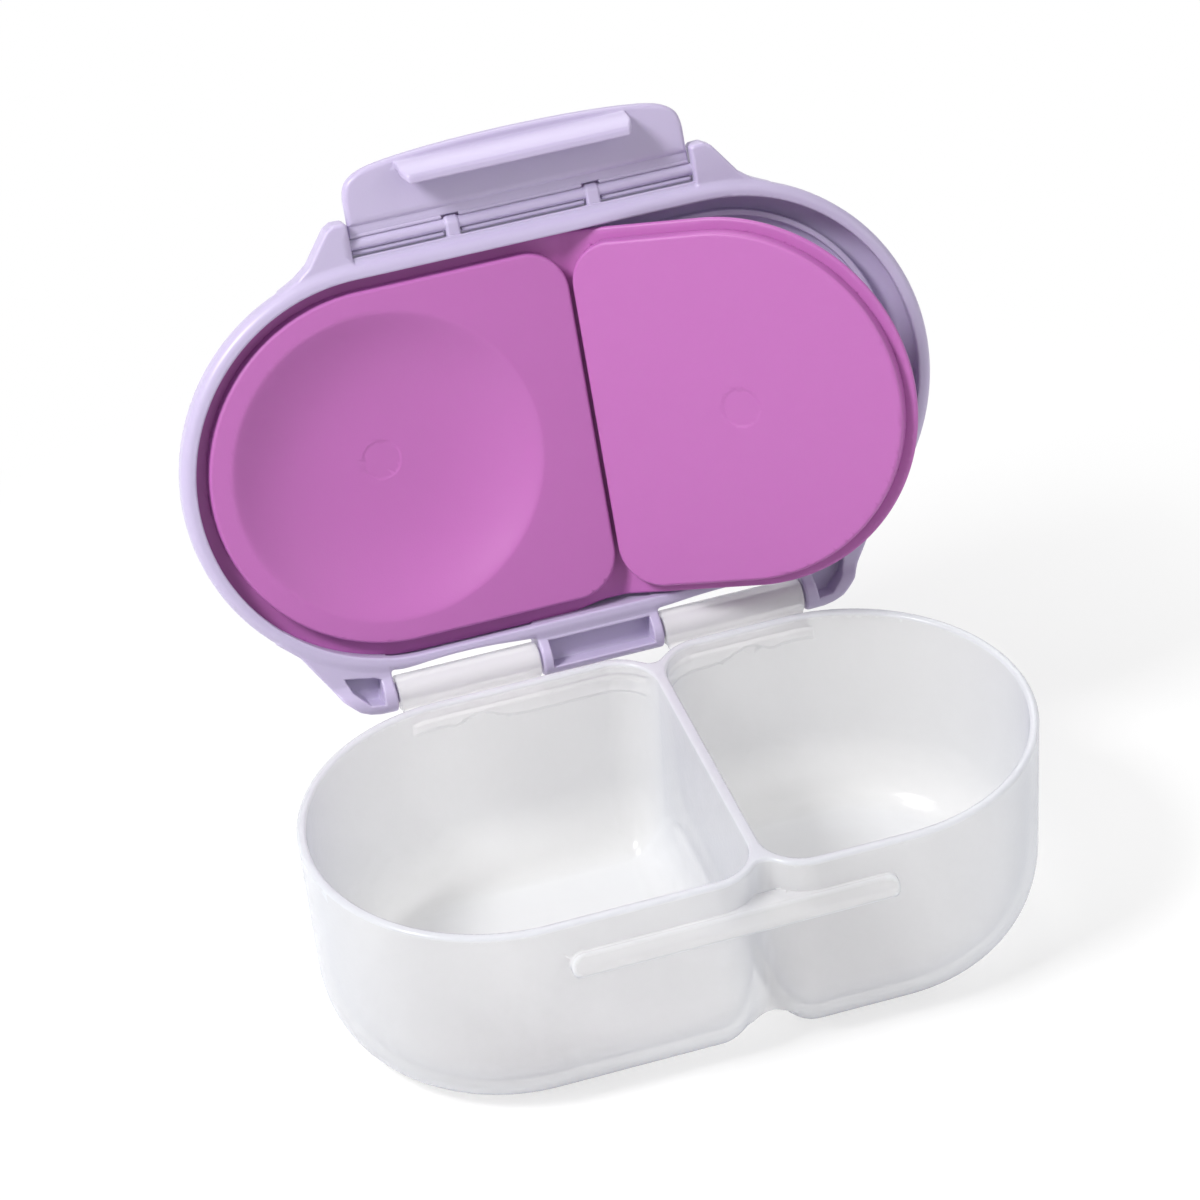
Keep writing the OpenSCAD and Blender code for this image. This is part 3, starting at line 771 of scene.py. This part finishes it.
def ramp(nodes, links, value, low, high, to_low=0.0, to_high=1.0):
    """A node that carries one range of a value over to another."""
    node = nodes.new("ShaderNodeMapRange")
    for socket, number in (("From Min", low), ("From Max", high), ("To Min", to_low), ("To Max", to_high)):
        node.inputs[socket].default_value = number
    links.new(value, node.inputs["Value"])
    return node


def arithmetic(nodes, links, kind, a, b):
    node = nodes.new("ShaderNodeMath")
    node.operation = kind
    links.new(a, node.inputs[0])
    links.new(b, node.inputs[1])
    return node.outputs["Value"]


def lilac_plastic():
    material, nodes, links = finish_of("lilac_plastic")
    shader = nodes["Principled BSDF"]
    shader.inputs["Base Color"].default_value = (0.505, 0.445, 0.625, 1)
    shader.inputs["Roughness"].default_value = 0.38
    shader.inputs["Subsurface Weight"].default_value = 0.25
    shader.inputs["Subsurface Radius"].default_value = (1.0, 0.8, 1.0)
    shader.inputs["Subsurface Scale"].default_value = 0.002
    bump(nodes, links, shader, 1500, 0.00002)
    return material


def frosted_plastic():
    """Milky and a little see-through.  Light runs far along a thin wall, so the
    rim and surfaces seen at a slant look denser and bluer than the sides.  The
    outer edges, picked out by pointiness, get the same darker bluish colour as
    painted shade that outlines them, and are less see-through too.  The clips
    and their shelf behind have more material and are plain white."""
    material, nodes, links = finish_of("frosted_plastic")
    shader = nodes["Principled BSDF"]
    shader.inputs["Roughness"].default_value = 0.16
    shader.inputs["IOR"].default_value = 1.45
    shader.inputs["Subsurface Weight"].default_value = 0.5
    shader.inputs["Subsurface Radius"].default_value = (1.0, 1.0, 1.0)
    shader.inputs["Subsurface Scale"].default_value = 0.005
    place = nodes.new("ShaderNodeTexCoord")
    parts = nodes.new("ShaderNodeSeparateXYZ")
    links.new(place.outputs["Object"], parts.inputs["Vector"])
    rim = ramp(nodes, links, parts.outputs["Z"], (BOX_H - 1.5) * MM, (BOX_H - 0.3) * MM, 0, 0.65)
    rim.interpolation_type = "SMOOTHSTEP"
    behind = ramp(nodes, links, parts.outputs["Y"], (HALF_W - 0.6) * MM, (HALF_W + 0.2) * MM)
    corner = nodes.new("ShaderNodeNewGeometry")
    # Painted shade: convex edges, found by pointiness, are coloured darker and bluer to outline them.
    edge = ramp(nodes, links, corner.outputs["Pointiness"], 0.51, 0.56, 0, 0.7)
    slant = nodes.new("ShaderNodeLayerWeight")
    slant.inputs["Blend"].default_value = 0.3
    rim_density_and_edge_shade = arithmetic(nodes, links, "MAXIMUM", rim.outputs["Result"], edge.outputs["Result"])
    density_and_edge_shade = arithmetic(nodes, links, "MAXIMUM", rim_density_and_edge_shade, slant.outputs["Facing"])
    # The colour goes darker and bluer with the density at the rim and on slants, and with the painted edge
    # shade; the same mask makes the wall less see-through.
    density_and_shade_tint, fitting, thick = (nodes.new("ShaderNodeMix") for _ in range(3))
    density_and_shade_tint.data_type = fitting.data_type = "RGBA"
    density_and_shade_tint.inputs[6].default_value = (0.82, 0.815, 0.81, 1)
    density_and_shade_tint.inputs[7].default_value = (0.56, 0.59, 0.665, 1)
    links.new(density_and_edge_shade, density_and_shade_tint.inputs[0])
    fitting.inputs[7].default_value = (0.97, 0.96, 0.97, 1)
    links.new(behind.outputs["Result"], fitting.inputs[0])
    links.new(density_and_shade_tint.outputs[2], fitting.inputs[6])
    links.new(fitting.outputs[2], shader.inputs["Base Color"])
    veil = ramp(nodes, links, density_and_edge_shade, 0, 1, 0.33, 0.85)
    thick.inputs[3].default_value = 0.55
    links.new(behind.outputs["Result"], thick.inputs[0])
    links.new(veil.outputs["Result"], thick.inputs[2])
    links.new(thick.outputs[0], shader.inputs["Alpha"])
    bump(nodes, links, shader, 600, 0.00003)
    return material


def orchid_silicone():
    material, nodes, links = finish_of("orchid_silicone")
    shader = nodes["Principled BSDF"]
    shader.inputs["Base Color"].default_value = (0.46, 0.135, 0.42, 1)
    shader.inputs["Roughness"].default_value = 0.5
    shader.inputs["Subsurface Weight"].default_value = 0.2
    shader.inputs["Subsurface Radius"].default_value = (1.0, 0.4, 0.9)
    shader.inputs["Subsurface Scale"].default_value = 0.0015
    bump(nodes, links, shader, 3000, 0.00002)
    return material


clear, lilac, orchid = frosted_plastic(), lilac_plastic(), orchid_silicone()
rib_shape, rib_width = rib_tree(), 1.5
rib("lid_rib_outer", rib_shape, RUN, SKIRT_IN - 5.25, rib_width, lilac)
rib("lid_rib_inner", rib_shape, RUN, SKIRT_IN - 9.25, rib_width, lilac)
rib("window_rib", rib_shape, 0.0, WINDOW_R + 0.85, 1.6, lilac, -RUN)
for piece, material in ((tub, clear), (lid, lilac), (latch, lilac), (flange, orchid),
                        (flat_plug, orchid), (dish_plug, orchid)):
    piece.data.materials.append(material)

# %% [markdown]
# ## Floor and light
#
# The floor shows the object's shadow near it and fades to plain white farther
# away.  Only the camera sees that white, so it sheds no light on the object.

# %% Floor
def floor():
    mesh = bpy.data.meshes.new("floor")
    size = 3.0
    mesh.from_pydata([(-size, -size, 0), (size, -size, 0), (size, size, 0), (-size, size, 0)], [],
                     [(0, 1, 2, 3)])
    ground = bpy.data.objects.new("floor", mesh)
    ground.location.z = -0.0003
    bpy.context.collection.objects.link(ground)
    material, nodes, links = finish_of("floor_white")
    shader = nodes["Principled BSDF"]
    shader.inputs["Base Color"].default_value = (0.9, 0.9, 0.9, 1)
    shader.inputs["Roughness"].default_value = 0.9
    ray, glow, blend = (nodes.new("ShaderNode" + kind) for kind in ("LightPath", "Emission", "MixShader"))
    place, reach = nodes.new("ShaderNodeTexCoord"), nodes.new("ShaderNodeVectorMath")
    reach.operation = "LENGTH"
    links.new(place.outputs["Object"], reach.inputs[0])
    fade = ramp(nodes, links, reach.outputs["Value"], 0.10, 0.30, 0.62)
    seen = arithmetic(nodes, links, "MULTIPLY", ray.outputs["Is Camera Ray"], fade.outputs["Result"])
    links.new(seen, blend.inputs["Fac"])
    links.new(shader.outputs["BSDF"], blend.inputs[1])
    links.new(glow.outputs["Emission"], blend.inputs[2])
    links.new(blend.outputs["Shader"], nodes["Material Output"].inputs["Surface"])
    mesh.materials.append(material)


floor()

world = bpy.data.worlds.new("studio")
world.use_nodes = True
sky_nodes, sky_links = world.node_tree.nodes, world.node_tree.links
sky_nodes["Background"].inputs["Color"].default_value = (1, 1, 1, 1)
seen_by = sky_nodes.new("ShaderNodeLightPath")
strength = ramp(sky_nodes, sky_links, seen_by.outputs["Is Camera Ray"], 0, 1, 0.44)
sky_links.new(strength.outputs["Result"], sky_nodes["Background"].inputs["Strength"])
bpy.context.scene.world = world


def soft_lamp(name, at, towards, size, power):
    data = bpy.data.lights.new(name, "AREA")
    data.shape, data.size, data.energy = "SQUARE", size, power
    lamp = bpy.data.objects.new(name, data)
    lamp.location = at
    lamp.rotation_euler = (Vector(towards) - Vector(at)).to_track_quat("-Z", "Y").to_euler()
    bpy.context.collection.objects.link(lamp)


soft_lamp("key", (-0.9, -0.2, 1.25), (0, 0.03, 0.07), 0.35, 21)
soft_lamp("fill", (1.2, -0.9, 1.0), (0, 0.03, 0.05), 1.2, 5.5)
soft_lamp("back", (0.3, 1.4, 1.2), (0, 0.03, 0.05), 0.8, 7)

bpy.context.scene.view_settings.view_transform = "Standard"
